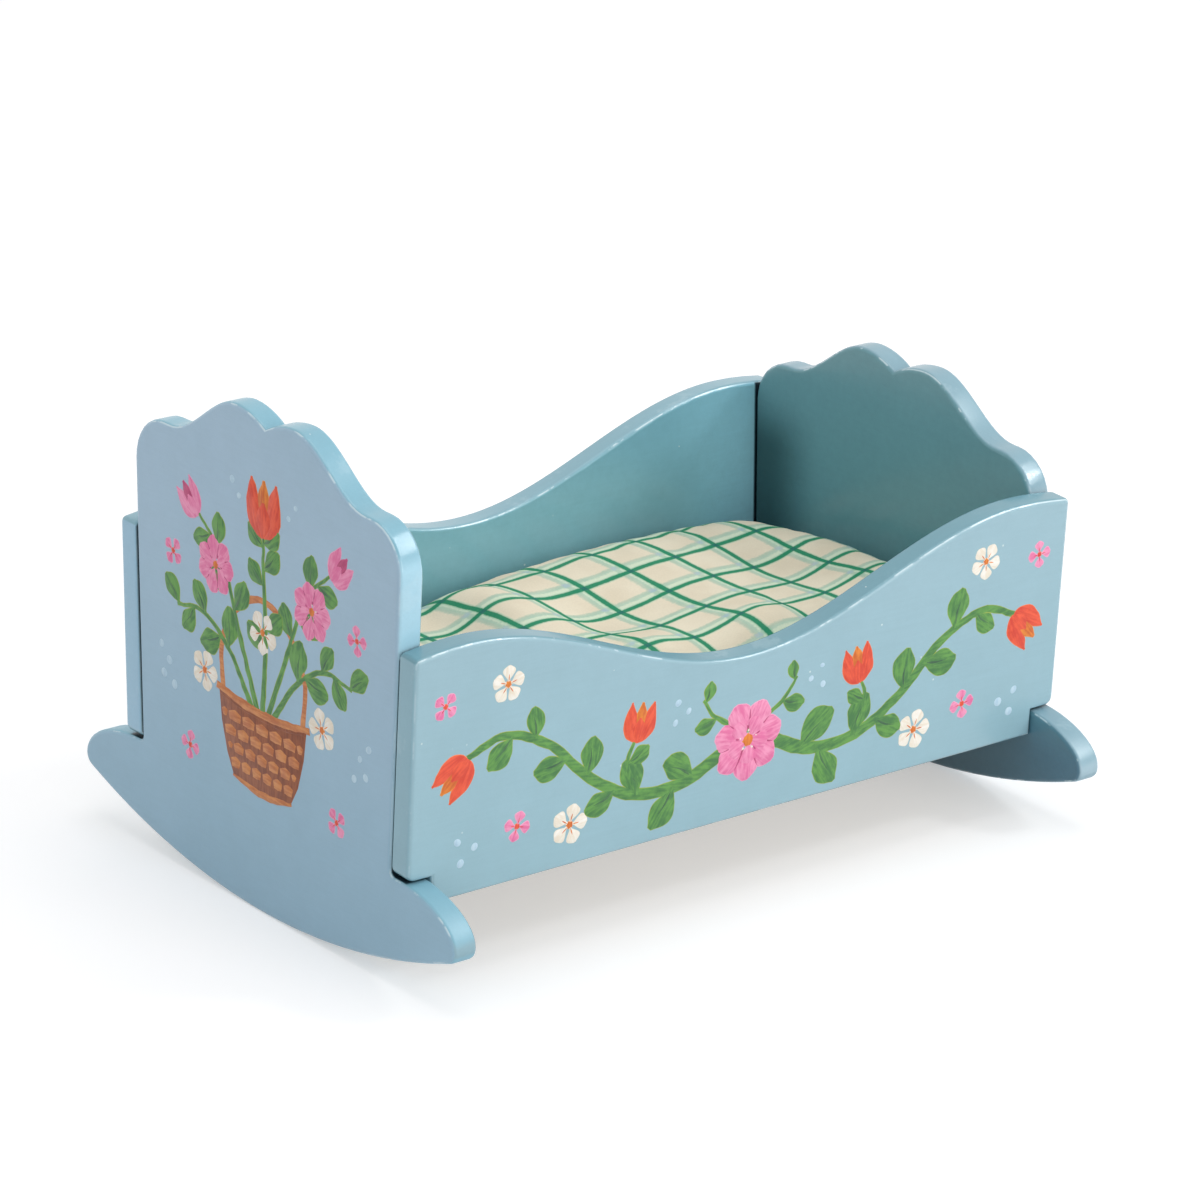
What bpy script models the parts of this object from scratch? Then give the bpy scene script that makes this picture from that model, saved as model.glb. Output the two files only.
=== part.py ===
# Doll cradle: two scalloped end boards on rockers, two scooped side panels, a base
# glued into rebates, hidden corner dowels and a stuffed mattress.
# Metres, +Z up, +X along the cradle towards its foot. The origin is on the floor,
# under the middle of the cradle.

import math

import bmesh
import bpy
from mathutils import Matrix, Vector

# Whole cradle
cradle_length = 0.180
side_lean = math.radians(2.2)
fit_gap = 0.0003
cut_overrun = 0.002
edge_round = 0.0009
edge_steps = 3
crease_angle = math.radians(40)

# End boards, in one piece with their rockers
board_thick = 0.006
shoulder_half_width = 0.0457
shoulder_height = 0.0247
shoulder_fillet = 0.0012
rocker_radius = 0.188
wing_reach = 0.0683
nose_radius = 0.0031
head_cusp_height = 0.109
foot_cusp_height = 0.0906
lobe_offset = 0.0105
lobe_rise = 0.00285
hollow_offset = 0.0355
hollow_drop = 0.0086
corner_radius = 0.0105
rocker_facets = 31
lobe_steps = 6
swing_steps = 16
corner_steps = 8
fillet_steps = 3
wing_steps = 12
nose_steps = 5

# Side panels, which lean out by side_lean
panel_thick = 0.006
panel_bottom = 0.019
panel_crest_height = 0.0758
crest_offset = 0.076
scoop_depth = 0.019
end_drop = 0.001
notch_clearance = 0.00045
tab_radius = 0.002
top_corner_radius = 0.0012
scoop_steps = 28
end_steps = 3
tab_steps = 4

# Base panel, glued into a rebate along each side panel
base_thick = 0.003
rebate_depth = 0.0025

# Corner dowels
dowel_radius = 0.00125
dowel_chamfer = 0.0003
dowel_in_panel = 0.0035
dowel_in_board = 0.0085
dowel_low_height = 0.038
dowel_high_height = 0.062
dowel_sides = 16

# Mattress
mattress_side_gap = 0.0007
mattress_end_gap = 0.0007
mattress_corner_radius = 0.012
seam_height = 0.0105
crown_height = 0.0198
head_end_sink = 0.0035
seam_draw_in = 0.0016
cloth_thick = 0.0005
length_power = 3.6
width_power = 4
belly_power = 9
mattress_rings = 8
mattress_corner_steps = 4
mattress_long_steps = 6
mattress_short_steps = 3

# Places that follow from the sizes above
half_length = cradle_length / 2
lean_slope = math.tan(side_lean)
inner_half_length = half_length - board_thick
base_top = panel_bottom + base_thick
mattress_bottom = base_top + fit_gap
seam_level = mattress_bottom + seam_height + fit_gap / 2


def half_width_at(height):
    # Half width of an end board between its shoulder and its top corner
    return shoulder_half_width + lean_slope * (height - shoulder_height)


def paint(name, colour, roughness, metallic=0.0):
    material = bpy.data.materials.new(name)
    material.use_nodes = True
    shader = material.node_tree.nodes["Principled BSDF"]
    shader.inputs["Base Color"].default_value = (*colour, 1.0)
    shader.inputs["Roughness"].default_value = roughness
    shader.inputs["Metallic"].default_value = metallic
    return material


def make_object(name, bm, material):
    bmesh.ops.recalc_face_normals(bm, faces=bm.faces)
    mesh = bpy.data.meshes.new(name)
    bm.to_mesh(mesh)
    bm.free()
    mesh.materials.append(material)
    made = bpy.data.objects.new(name, mesh)
    bpy.context.collection.objects.link(made)
    return made


def make_cutter(name, bm):
    bmesh.ops.recalc_face_normals(bm, faces=bm.faces)
    mesh = bpy.data.meshes.new(name)
    bm.to_mesh(mesh)
    bm.free()
    cutter = bpy.data.objects.new(name, mesh)
    bpy.context.collection.objects.link(cutter)
    cutter.hide_render = True
    cutter.display_type = "WIRE"
    return cutter


def smooth(piece):
    piece.data.shade_smooth()
    piece.data.set_sharp_from_angle(angle=crease_angle)


def cut(target, cutter):
    modifier = target.modifiers.new(cutter.name, "BOOLEAN")
    modifier.operation = "DIFFERENCE"
    modifier.solver = "EXACT"
    modifier.object = cutter


def arc(centre, radius, start, end, steps):
    # Points from start to end, both included, angles in radians
    turn = (end - start) / steps
    return [
        (centre[0] + radius * math.cos(start + turn * step),
         centre[1] + radius * math.sin(start + turn * step))
        for step in range(steps + 1)
    ]


def swing(start, end, steps):
    # Smooth S between two level ends, without its first point
    points = []
    for step in range(1, steps + 1):
        run_share = step / steps
        rise_share = (1 - math.cos(math.pi * run_share)) / 2
        points.append((
            start[0] + (end[0] - start[0]) * run_share,
            start[1] + (end[1] - start[1]) * rise_share,
        ))
    return points


def mirrored(half):
    # A whole outline from a half one, of which only the first point is on the middle line
    return half + [(-across, height) for across, height in reversed(half[1:])]


def bridge(bm, first, second):
    count = len(first)
    for index in range(count):
        following = (index + 1) % count
        bm.faces.new((first[index], first[following], second[following], second[index]))


def board_from_outline(bm, outline, thickness, place):
    # A flat board with sanded edges; place turns (across, height, depth) into a point
    depths = (-thickness / 2, thickness / 2)
    caps = []
    for depth in depths:
        caps.append([bm.verts.new(place(across, height, depth)) for across, height in outline])
    bm.faces.new(caps[0])
    bm.faces.new(list(reversed(caps[1])))
    bridge(bm, caps[0], caps[1])
    bmesh.ops.recalc_face_normals(bm, faces=bm.faces)
    rims = [
        edge for edge in bm.edges
        if any(len(face.verts) == len(outline) for face in edge.link_faces)
    ]
    bmesh.ops.bevel(
        bm, geom=rims, offset=edge_round, segments=edge_steps,
        profile=0.5, affect="EDGES", clamp_overlap=True,
    )


def end_board_outline(cusp_height):
    # Half outline from the cusp over the lobe, corner, wing and nose to the rocker
    lobe_radius = (lobe_offset ** 2 + lobe_rise ** 2) / (2 * lobe_rise)
    lobe_centre = (lobe_offset, cusp_height + lobe_rise - lobe_radius)
    cusp_angle = math.atan2(cusp_height - lobe_centre[1], -lobe_offset)
    half = arc(lobe_centre, lobe_radius, cusp_angle, math.pi / 2, lobe_steps)

    hollow_level = cusp_height - hollow_drop
    half += swing(half[-1], (hollow_offset, hollow_level), swing_steps)

    corner_level = hollow_level - corner_radius
    corner_centre = (half_width_at(corner_level) - corner_radius / math.cos(side_lean), corner_level)
    half += arc(corner_centre, corner_radius, math.pi / 2, -side_lean, corner_steps)

    fillet_centre = (
        half_width_at(shoulder_height + shoulder_fillet) + shoulder_fillet / math.cos(side_lean),
        shoulder_height + shoulder_fillet,
    )
    half += arc(fillet_centre, shoulder_fillet, math.pi - side_lean, math.pi * 3 / 2, fillet_steps)

    # The nose circle touches the rocker circle from inside
    facet_angle = 2 * math.asin(wing_reach / rocker_radius) / rocker_facets
    rocker_centre = rocker_radius * math.cos(facet_angle / 2)
    nose_across = wing_reach - nose_radius
    nose_turn = math.asin(nose_across / (rocker_radius - nose_radius))
    nose_height = rocker_centre - (rocker_radius - nose_radius) * math.cos(nose_turn)

    wing_start = half[-1][0]
    for step in range(1, wing_steps + 1):
        angle = math.pi / 2 * step / wing_steps
        half.append((
            wing_start + (wing_reach - wing_start) * math.sin(angle),
            nose_height + (shoulder_height - nose_height) * math.cos(angle),
        ))
    half += arc((nose_across, nose_height), nose_radius, 0, nose_turn - math.pi / 2, nose_steps)[1:]

    # An odd number of facets leaves one lying flat on the floor
    side_facets = int(nose_turn / facet_angle - 0.5)
    for facet in range(side_facets, -1, -1):
        angle = facet_angle * (facet + 0.5)
        half.append((rocker_radius * math.sin(angle), rocker_centre - rocker_radius * math.cos(angle)))
    return mirrored(half)


def end_board(name, cusp_height, direction, material):
    bm = bmesh.new()
    board_from_outline(
        bm, end_board_outline(cusp_height), board_thick,
        lambda across, height, depth: (depth, across, height),
    )
    board = make_object(name, bm, material)
    board.location = (direction * (half_length - board_thick / 2), 0, 0)
    return board


def side_panel_outline():
    # Half outline, heights measured from the panel's lower edge along its slope
    notch_length = board_thick + fit_gap
    notch_height = shoulder_height + notch_clearance - panel_bottom
    crest = panel_crest_height - panel_bottom
    lowest = crest - scoop_depth
    half = [(0, lowest)]
    half += swing(half[0], (crest_offset, crest), scoop_steps)
    fall_length = half_length - top_corner_radius - crest_offset
    for step in range(1, end_steps + 1):
        fall_share = step / end_steps
        half.append((crest_offset + fall_length * fall_share, crest - end_drop * fall_share ** 2))
    top_corner = (half_length - top_corner_radius, crest - end_drop - top_corner_radius)
    half += arc(top_corner, top_corner_radius, math.pi / 2, 0, end_steps)[1:]
    tab_corner = (half_length - tab_radius, notch_height + tab_radius)
    half += arc(tab_corner, tab_radius, 0, -math.pi / 2, tab_steps)
    half.append((half_length - notch_length, notch_height))
    half.append((half_length - notch_length, 0))
    return mirrored(half)


def side_panel(name, direction, material):
    # The panel's origin is the lower edge of its inner face, where the lean starts
    bm = bmesh.new()
    board_from_outline(
        bm, side_panel_outline(), panel_thick,
        lambda across, height, depth: (across, direction * (panel_thick / 2) + depth, height),
    )
    panel = make_object(name, bm, material)
    inner_face = half_width_at(panel_bottom) + fit_gap / math.cos(side_lean)
    panel.location = (0, direction * inner_face, panel_bottom)
    panel.rotation_euler = (-direction * side_lean, 0, 0)

    rebate = bmesh.new()
    bmesh.ops.create_cube(rebate, size=1)
    rebate_height = base_thick + fit_gap
    rebate_size = (cradle_length, rebate_depth + cut_overrun, rebate_height + cut_overrun)
    bmesh.ops.scale(rebate, vec=rebate_size, verts=rebate.verts)
    middle = (0, direction * (rebate_depth - cut_overrun) / 2, (rebate_height - cut_overrun) / 2)
    bmesh.ops.translate(rebate, vec=middle, verts=rebate.verts)
    cutter = make_cutter(name + "_rebate_cut", rebate)
    cutter.location = panel.location
    cutter.rotation_euler = panel.rotation_euler
    cut(panel, cutter)
    return panel


def base_panel(material):
    half_width = half_width_at(panel_bottom) + rebate_depth
    bm = bmesh.new()
    bmesh.ops.create_cube(bm, size=1)
    size = (2 * (inner_half_length - fit_gap), 2 * half_width, base_thick)
    bmesh.ops.scale(bm, vec=size, verts=bm.verts)
    base = make_object("base_panel", bm, material)
    base.location = (0, 0, panel_bottom + base_thick / 2)
    return base


def turned_pin(radius, start, end, chamfer):
    # A round pin along its own X axis, its two ends chamfered
    profile = [
        (start, radius - chamfer),
        (start + chamfer, radius),
        (end - chamfer, radius),
        (end, radius - chamfer),
    ]
    bm = bmesh.new()
    rings = []
    for along, ring_radius in profile:
        rings.append([
            bm.verts.new((along, *point))
            for point in arc((0, 0), ring_radius, 0, 2 * math.pi, dowel_sides)[:-1]
        ])
    for near, far in zip(rings, rings[1:]):
        bridge(bm, near, far)
    bm.faces.new(rings[0])
    bm.faces.new(rings[-1])
    return bm


def corner_dowels(boards, panels, material):
    # Each dowel lies square to its panel, centred in the thickness of its end board
    for end_name, end_direction in (("head", -1), ("foot", 1)):
        for side_name, side_direction in (("front", -1), ("back", 1)):
            for level_name, height in (("low", dowel_low_height), ("high", dowel_high_height)):
                name = f"dowel_{end_name}_{side_name}_{level_name}"
                inward = Vector((0, -side_direction * math.cos(side_lean), math.sin(side_lean)))
                along = inward.cross(Vector((end_direction, 0, 0)))
                turn = Matrix((inward, along.cross(inward), along)).transposed().to_4x4()
                joint = Vector((
                    end_direction * (half_length - board_thick / 2),
                    side_direction * half_width_at(height),
                    height,
                ))
                shape = turned_pin(dowel_radius, -dowel_in_panel, dowel_in_board, dowel_chamfer)
                dowel = make_object(name, shape, material)
                dowel.matrix_world = Matrix.Translation(joint) @ turn
                smooth(dowel)

                bore = turned_pin(
                    dowel_radius + fit_gap, -dowel_in_panel - fit_gap, dowel_in_board + fit_gap,
                    dowel_chamfer,
                )
                cutter = make_cutter(name + "_bore_cut", bore)
                cutter.matrix_world = dowel.matrix_world
                cut(boards[end_name], cutter)
                cut(panels[side_name], cutter)


def mattress_plan():
    # A rounded rectangle, one full turn, as shares of its half length and half width
    half_width = half_width_at(mattress_bottom) - mattress_side_gap
    half_run = inner_half_length - mattress_end_gap
    corner = (half_run - mattress_corner_radius, half_width - mattress_corner_radius)
    quarter = []
    for step in range(mattress_short_steps):
        quarter.append((half_run, corner[1] * step / mattress_short_steps))
    quarter += arc(corner, mattress_corner_radius, 0, math.pi / 2, mattress_corner_steps)
    for step in range(mattress_long_steps - 1, -1, -1):
        quarter.append((corner[0] * step / mattress_long_steps, half_width))
    half = quarter + [(-x, y) for x, y in reversed(quarter[:-1])]
    turn = half + [(x, -y) for x, y in reversed(half[1:-1])]
    plan_shares = [(x / half_run, y / half_width) for x, y in turn]
    return plan_shares, half_run, half_width


def cushion_point(x_share, y_share, on_rim, inset, upper, level):
    # A point of the stuffed form, every size of it drawn in by inset
    rise = crown_height - inset if upper else inset - seam_height
    powers = (length_power, width_power) if upper else (belly_power, belly_power)
    swell_share = 1.0
    for share, power in zip((x_share, y_share), powers):
        swell_share *= max(0.0, 1 - abs(share) ** power) ** (1 / power)
    if on_rim:
        swell_share = 0.0
    head_share = (1 - math.sin(x_share * math.pi / 2)) / 2
    if upper:
        rise -= head_end_sink * head_share
    draw_in = inset + seam_draw_in * (1 - swell_share) ** 3
    half_run, half_width = mattress_plan()[1:]
    return (x_share * (half_run - draw_in), y_share * (half_width - draw_in), level + rise * swell_share)


def cushion_side(bm, inset, upper, level):
    # The upper or lower face of the form; returns its rim, which lies on the level
    plan_shares = mattress_plan()[0]
    rings = []
    for ring in range(mattress_rings, 0, -1):
        reach_share = math.sin(math.pi / 2 * ring / mattress_rings)
        rings.append([
            bm.verts.new(cushion_point(
                x_share * reach_share, y_share * reach_share, ring == mattress_rings,
                inset, upper, level,
            ))
            for x_share, y_share in plan_shares
        ])
    for outer, inner in zip(rings, rings[1:]):
        bridge(bm, outer, inner)
    middle = bm.verts.new(cushion_point(0, 0, False, inset, upper, level))
    last = rings[-1]
    for index in range(len(last)):
        bm.faces.new((last[index], last[(index + 1) % len(last)], middle))
    return rings[0]


def mattress(cloth, stuffing):
    # Two cloths that meet at the seam round a filling, all on one empty
    holder = bpy.data.objects.new("mattress", None)
    bpy.context.collection.objects.link(holder)
    holder.location = (0, 0, seam_level)
    for name, upper in (("mattress_top_cloth", True), ("mattress_bottom_cloth", False)):
        bm = bmesh.new()
        rim_level = fit_gap / 2 if upper else -fit_gap / 2
        outer = cushion_side(bm, 0, upper, rim_level)
        inner = cushion_side(bm, cloth_thick, upper, rim_level)
        bridge(bm, outer, inner)
        piece = make_object(name, bm, cloth)
        piece.parent = holder
        smooth(piece)
    bm = bmesh.new()
    filling_inset = cloth_thick + fit_gap
    top = cushion_side(bm, filling_inset, True, fit_gap / 2)
    bottom = cushion_side(bm, filling_inset, False, -fit_gap / 2)
    bridge(bm, top, bottom)
    filling = make_object("mattress_filling", bm, stuffing)
    filling.parent = holder
    smooth(filling)


def build():
    for old in list(bpy.data.objects):
        bpy.data.objects.remove(old, do_unlink=True)
    blue_paint = paint("blue_paint", (0.36, 0.50, 0.58), 0.38)
    bare_ply = paint("bare_ply", (0.62, 0.48, 0.32), 0.7)
    beech = paint("beech", (0.58, 0.40, 0.24), 0.65)
    check_cloth = paint("check_cloth", (0.80, 0.70, 0.52), 0.9)
    stuffing = paint("stuffing", (0.85, 0.84, 0.80), 0.95)

    boards = {
        "head": end_board("head_board", head_cusp_height, -1, blue_paint),
        "foot": end_board("foot_board", foot_cusp_height, 1, blue_paint),
    }
    panels = {
        "front": side_panel("side_panel_front", -1, blue_paint),
        "back": side_panel("side_panel_back", 1, blue_paint),
    }
    base_panel(bare_ply)
    corner_dowels(boards, panels, beech)
    mattress(check_cloth, stuffing)


build()
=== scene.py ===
import math
import random

import bmesh
import bpy
import numpy as np
from mathutils import Matrix, Vector, noise


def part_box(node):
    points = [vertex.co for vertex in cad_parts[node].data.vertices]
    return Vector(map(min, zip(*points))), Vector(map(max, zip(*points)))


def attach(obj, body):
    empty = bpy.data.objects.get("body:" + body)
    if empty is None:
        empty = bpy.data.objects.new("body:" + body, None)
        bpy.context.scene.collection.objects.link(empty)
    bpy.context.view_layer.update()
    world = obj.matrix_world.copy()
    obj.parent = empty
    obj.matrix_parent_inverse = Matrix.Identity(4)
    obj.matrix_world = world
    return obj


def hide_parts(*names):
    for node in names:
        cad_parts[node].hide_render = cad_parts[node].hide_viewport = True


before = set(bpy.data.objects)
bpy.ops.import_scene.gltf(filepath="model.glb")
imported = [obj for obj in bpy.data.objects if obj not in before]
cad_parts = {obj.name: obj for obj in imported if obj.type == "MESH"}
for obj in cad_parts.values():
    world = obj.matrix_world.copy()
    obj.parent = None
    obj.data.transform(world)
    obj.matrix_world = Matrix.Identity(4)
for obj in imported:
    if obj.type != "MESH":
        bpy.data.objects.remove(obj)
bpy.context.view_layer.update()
scene = bpy.context.scene
mm = 0.001
print("frame loaded:", len(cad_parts), "nodes")


# shader and geometry graphs

class Wire:
    # one output socket; arithmetic on it adds Math nodes
    def __init__(self, graph, socket):
        self.graph = graph
        self.socket = socket

    def maths(self, operation, other=0.0, swapped=False):
        values = (other, self) if swapped else (self, other)
        return self.graph.add("ShaderNodeMath", {"operation": operation}, dict(enumerate(values)))

    def __add__(self, other):
        return self.maths("ADD", other)

    def __mul__(self, other):
        return self.maths("MULTIPLY", other)

    __radd__, __rmul__ = __add__, __mul__

    def __sub__(self, other):
        return self.maths("SUBTRACT", other)

    def __rsub__(self, other):
        return self.maths("SUBTRACT", other, True)

    def __abs__(self):
        return self.maths("ABSOLUTE")

    def fade(self, low, high):
        # 0 at low and 1 at high, smooth between them
        facts = {"Value": self, "From Min": low, "From Max": high}
        return self.graph.add("ShaderNodeMapRange", {"interpolation_type": "SMOOTHSTEP"}, facts)


class Graph:
    def __init__(self, tree):
        self.tree = tree

    def feed(self, socket, value):
        if isinstance(value, Wire):
            self.tree.links.new(value.socket, socket)
        else:
            socket.default_value = value

    def add(self, kind, settings=None, values=None, out=0):
        node = self.tree.nodes.new(kind)
        for key, value in (settings or {}).items():
            setattr(node, key, value)
        for key, value in (values or {}).items():
            self.feed(node.inputs[key], value)
        return Wire(self, node.outputs[out]) if node.outputs else None

    def vector(self, operation, first, second, out=0):
        return self.add("ShaderNodeVectorMath", {"operation": operation}, {0: first, 1: second}, out)

    def stretch(self, vector, scale):
        return self.vector("MULTIPLY", vector, scale)

    def place(self):
        # object coordinates in millimetres
        return self.stretch(self.add("ShaderNodeTexCoord", out="Object"), (1 / mm,) * 3)

    def layer(self, name, out="Fac"):
        # a value that the mesh carries at each of its points
        return self.add("ShaderNodeAttribute", {"attribute_name": name}, out=out)

    def split(self, vector):
        first = self.add("ShaderNodeSeparateXYZ", None, {0: vector})
        return [Wire(self, output) for output in first.socket.node.outputs]

    def noise(self, vector, scale, detail=3.0, rough=0.55):
        facts = {"Vector": vector, "Scale": scale, "Detail": detail, "Roughness": rough}
        return self.add("ShaderNodeTexNoise", None, facts)

    def mix(self, factor, first, second, blend="MIX"):
        settings = {"data_type": "RGBA", "blend_type": blend}
        return self.add("ShaderNodeMix", settings, {0: factor, 6: first, 7: second}, 2)

    def toned(self, colour, shade):
        # a colour made darker or lighter, by shares around 1
        tone = self.add("ShaderNodeCombineColor", None, {0: shade, 1: shade, 2: shade})
        return self.mix(1.0, colour, tone, "MULTIPLY")

    def bump(self, height, distance):
        facts = {"Height": height, "Distance": distance * mm, "Strength": 1.0}
        return self.add("ShaderNodeBump", None, facts)

    def shade(self, **looks):
        # feeds the shader's sockets; their names have _ for each space
        for key, value in looks.items():
            self.feed(self.tree.nodes["Principled BSDF"].inputs[key.replace("_", " ")], value)


def srgb(*screen):
    # a colour as a screen shows it, 0 to 255, turned into a linear one
    shares = [c / 255 for c in screen]
    return (*(c / 12.92 if c <= 0.04045 else ((c + 0.055) / 1.055) ** 2.4 for c in shares), 1.0)


def newMaterial(name):
    material = bpy.data.materials.new(name)
    material.use_nodes = True
    return material, Graph(material.node_tree)


def newObject(name, mesh):
    made = bpy.data.objects.new(name, mesh)
    scene.collection.objects.link(made)
    return made


def meshOf(name, bm):
    mesh = bpy.data.meshes.new(name)
    bm.to_mesh(mesh)
    bm.free()
    return mesh


def wear(node, material):
    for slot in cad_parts[node].material_slots:
        slot.material = material


# camera, floor and light

camera = {
    "place": (-0.70844, -0.88188, 0.46863),
    "azimuth": -38.797, "elevation": 20.187, "roll": 1.565,
    "lens": 164.05, "sensor": 36, "clip": (0.05, 50),
}


def makeCamera():
    azimuth, elevation, roll = (math.radians(camera[key]) for key in ("azimuth", "elevation", "roll"))
    turn = Matrix.Rotation(azimuth, 4, "Z") @ Matrix.Rotation(math.pi / 2 - elevation, 4, "X")
    turn @= Matrix.Rotation(roll, 4, "Z")
    data = bpy.data.cameras.new("photoCamera")
    data.lens = camera["lens"]
    data.sensor_width = camera["sensor"]
    data.clip_start, data.clip_end = camera["clip"]
    made = newObject("photoCamera", data)
    made.matrix_world = Matrix.Translation(camera["place"]) @ turn
    scene.camera = made


light = {
    "ambient": 0.66,
    "aim": (0, 0, 0.04),
    # place, width and height, the direction of its height, power in watts
    "lamps": {
        "top": ((0.05, 0.05, 1.30), (0.9, 0.9), (0, 1, 0), 4.0),
        "front": ((0.30, -1.50, 0.50), (0.7, 0.7), (0, 0, 1), 6.3),
        "side": ((0.72, -0.52, 0.74), (0.2, 0.2), (0, 0, 1), 2.0),
        "gleam": ((0.62, -0.50, 0.86), (0.45, 0.80), (0, 0.86, 0.52), 8.5),
    },
    "glossOnly": "gleam",  # seen in rounded edges and lights nothing else
    "floorSize": 8,
    "floorTint": srgb(225, 226, 228),
    "floorShown": (0.675, 0.677, 0.685, 1),
    "floorGlow": 0.43,
}


def cameraSees(graph):
    # 1 for camera, glossy and transmission rays
    seen = [
        graph.add("ShaderNodeLightPath", out=name)
        for name in ("Is Camera Ray", "Is Glossy Ray", "Is Transmission Ray")
    ]
    return (seen[0] + seen[1] + seen[2]).maths("MINIMUM", 1.0)


def makeLamp(name, place, size, upward, power):
    lamp = bpy.data.lights.new(name + "Softbox", "AREA")
    lamp.shape = "RECTANGLE"
    lamp.size, lamp.size_y = size
    lamp.energy = power
    made = newObject(name + "Softbox", lamp)
    back = (Vector(place) - Vector(light["aim"])).normalized()
    level = Vector(upward).cross(back).normalized()
    turn = Matrix((level, back.cross(level), back)).transposed().to_4x4()
    made.matrix_world = Matrix.Translation(place) @ turn
    made.visible_diffuse = name != light["glossOnly"]


def makeFloor():
    bm = bmesh.new()
    bmesh.ops.create_grid(bm, x_segments=1, y_segments=1, size=light["floorSize"])
    mesh = meshOf("floor", bm)
    material, graph = newMaterial("paleFloor")
    graph.tree.nodes.remove(graph.tree.nodes["Principled BSDF"])
    plain = graph.add("ShaderNodeBsdfDiffuse", None, {"Color": light["floorTint"]})
    under = graph.add("ShaderNodeBsdfDiffuse", None, {"Color": light["floorShown"]})
    glow = graph.add("ShaderNodeEmission", None, {"Color": (1, 1, 1, 1), "Strength": light["floorGlow"]})
    lit = graph.add("ShaderNodeAddShader", None, {0: under, 1: glow})
    surface = graph.add("ShaderNodeMixShader", None, {0: cameraSees(graph), 1: plain, 2: lit})
    graph.feed(graph.tree.nodes["Material Output"].inputs["Surface"], surface)
    mesh.materials.append(material)
    newObject("floor", mesh)


def makeWorld():
    world = bpy.data.worlds.new("paleStudio")
    scene.world = world
    world.use_nodes = True
    graph = Graph(world.node_tree)
    sockets = world.node_tree.nodes["Background"].inputs
    graph.feed(sockets["Color"], (1, 1, 1, 1))
    graph.feed(sockets["Strength"], light["ambient"] + cameraSees(graph) * (1 - light["ambient"]))


scene.view_settings.view_transform = "Standard"
makeCamera()
makeWorld()
for lampName, lampFacts in light["lamps"].items():
    makeLamp(lampName, *lampFacts)
makeFloor()
print("camera, floor and light made")


# painted boards

def flatSide(name, outward):
    # the wide face of a board: the foot of its middle line, and its directions right, up and out
    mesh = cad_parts[name].data
    widest = max(mesh.polygons, key=lambda face: face.area * (face.normal.dot(Vector(outward)) > 0.9))
    out = widest.normal.copy()
    right = Vector((0, 0, 1)).cross(out).normalized()
    up = out.cross(right)
    corner = mesh.vertices[widest.vertices[0]].co
    foot = corner - right * corner.dot(right)
    foot -= up * (foot.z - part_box(name)[0][2]) / up.z
    return foot, right, up, out


# a noise is given as its scale to the millimetre, its detail and its roughness
paintedWood = {
    # a pale colour for worn paint and for painted highlight on the arris
    "paleWearAndHighlight": srgb(216, 236, 242), "speck": srgb(215, 232, 232),
    "roughness": 0.22, "roughSpread": 0.10, "brushDepth": 0.022,
    # each with how much the tone changes: with the brush, over a board, in clouds and in fine grit
    "textures": {
        "streaks": ((1.1, 4.0), 0.07), "patches": ((0.035, 2.0), 0.08),
        "clouds": ((0.13, 3.0), 0.08), "grit": ((2.6, 3.0), 0.05),
    },
    "relief": {"streaks": 0.7, "grit": 0.3},
    "upper": {"height": (10, 90), "patches": 0.25},
    # how far a face must turn to count as a board's flat side, as no longer its edge, or as level
    "sideFrom": (0.45, 0.9), "edgeTo": (0.5, 0.8), "levelFrom": (0.15, 0.55),
    "mottle": {"noise": (0.5, 4.0, 0.65), "outside": 0.05, "inside": 0.16},
    "smear": {"noise": (0.10, 5.0, 0.6), "from": (0.56, 0.66), "strength": 0.12},
    # the arris: paint worn pale together with painted highlight, most where it faces up
    "arrisWearAndHighlight": {
        "noise": (0.14, 4.0, 0.6), "from": (0.50, 0.58), "strength": 0.72,
        "arris": 0.74, "width": (0.04, 0.20), "facingUp": (0.05, 0.4), "least": 0.3,
    },
    "specks": {
        "scale": 0.24, "size": (0.045, 0.075), "chance": (0.62, 0.64), "swarm": (0.44, 0.54),
        "strength": 0.75,
    },
}

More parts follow.
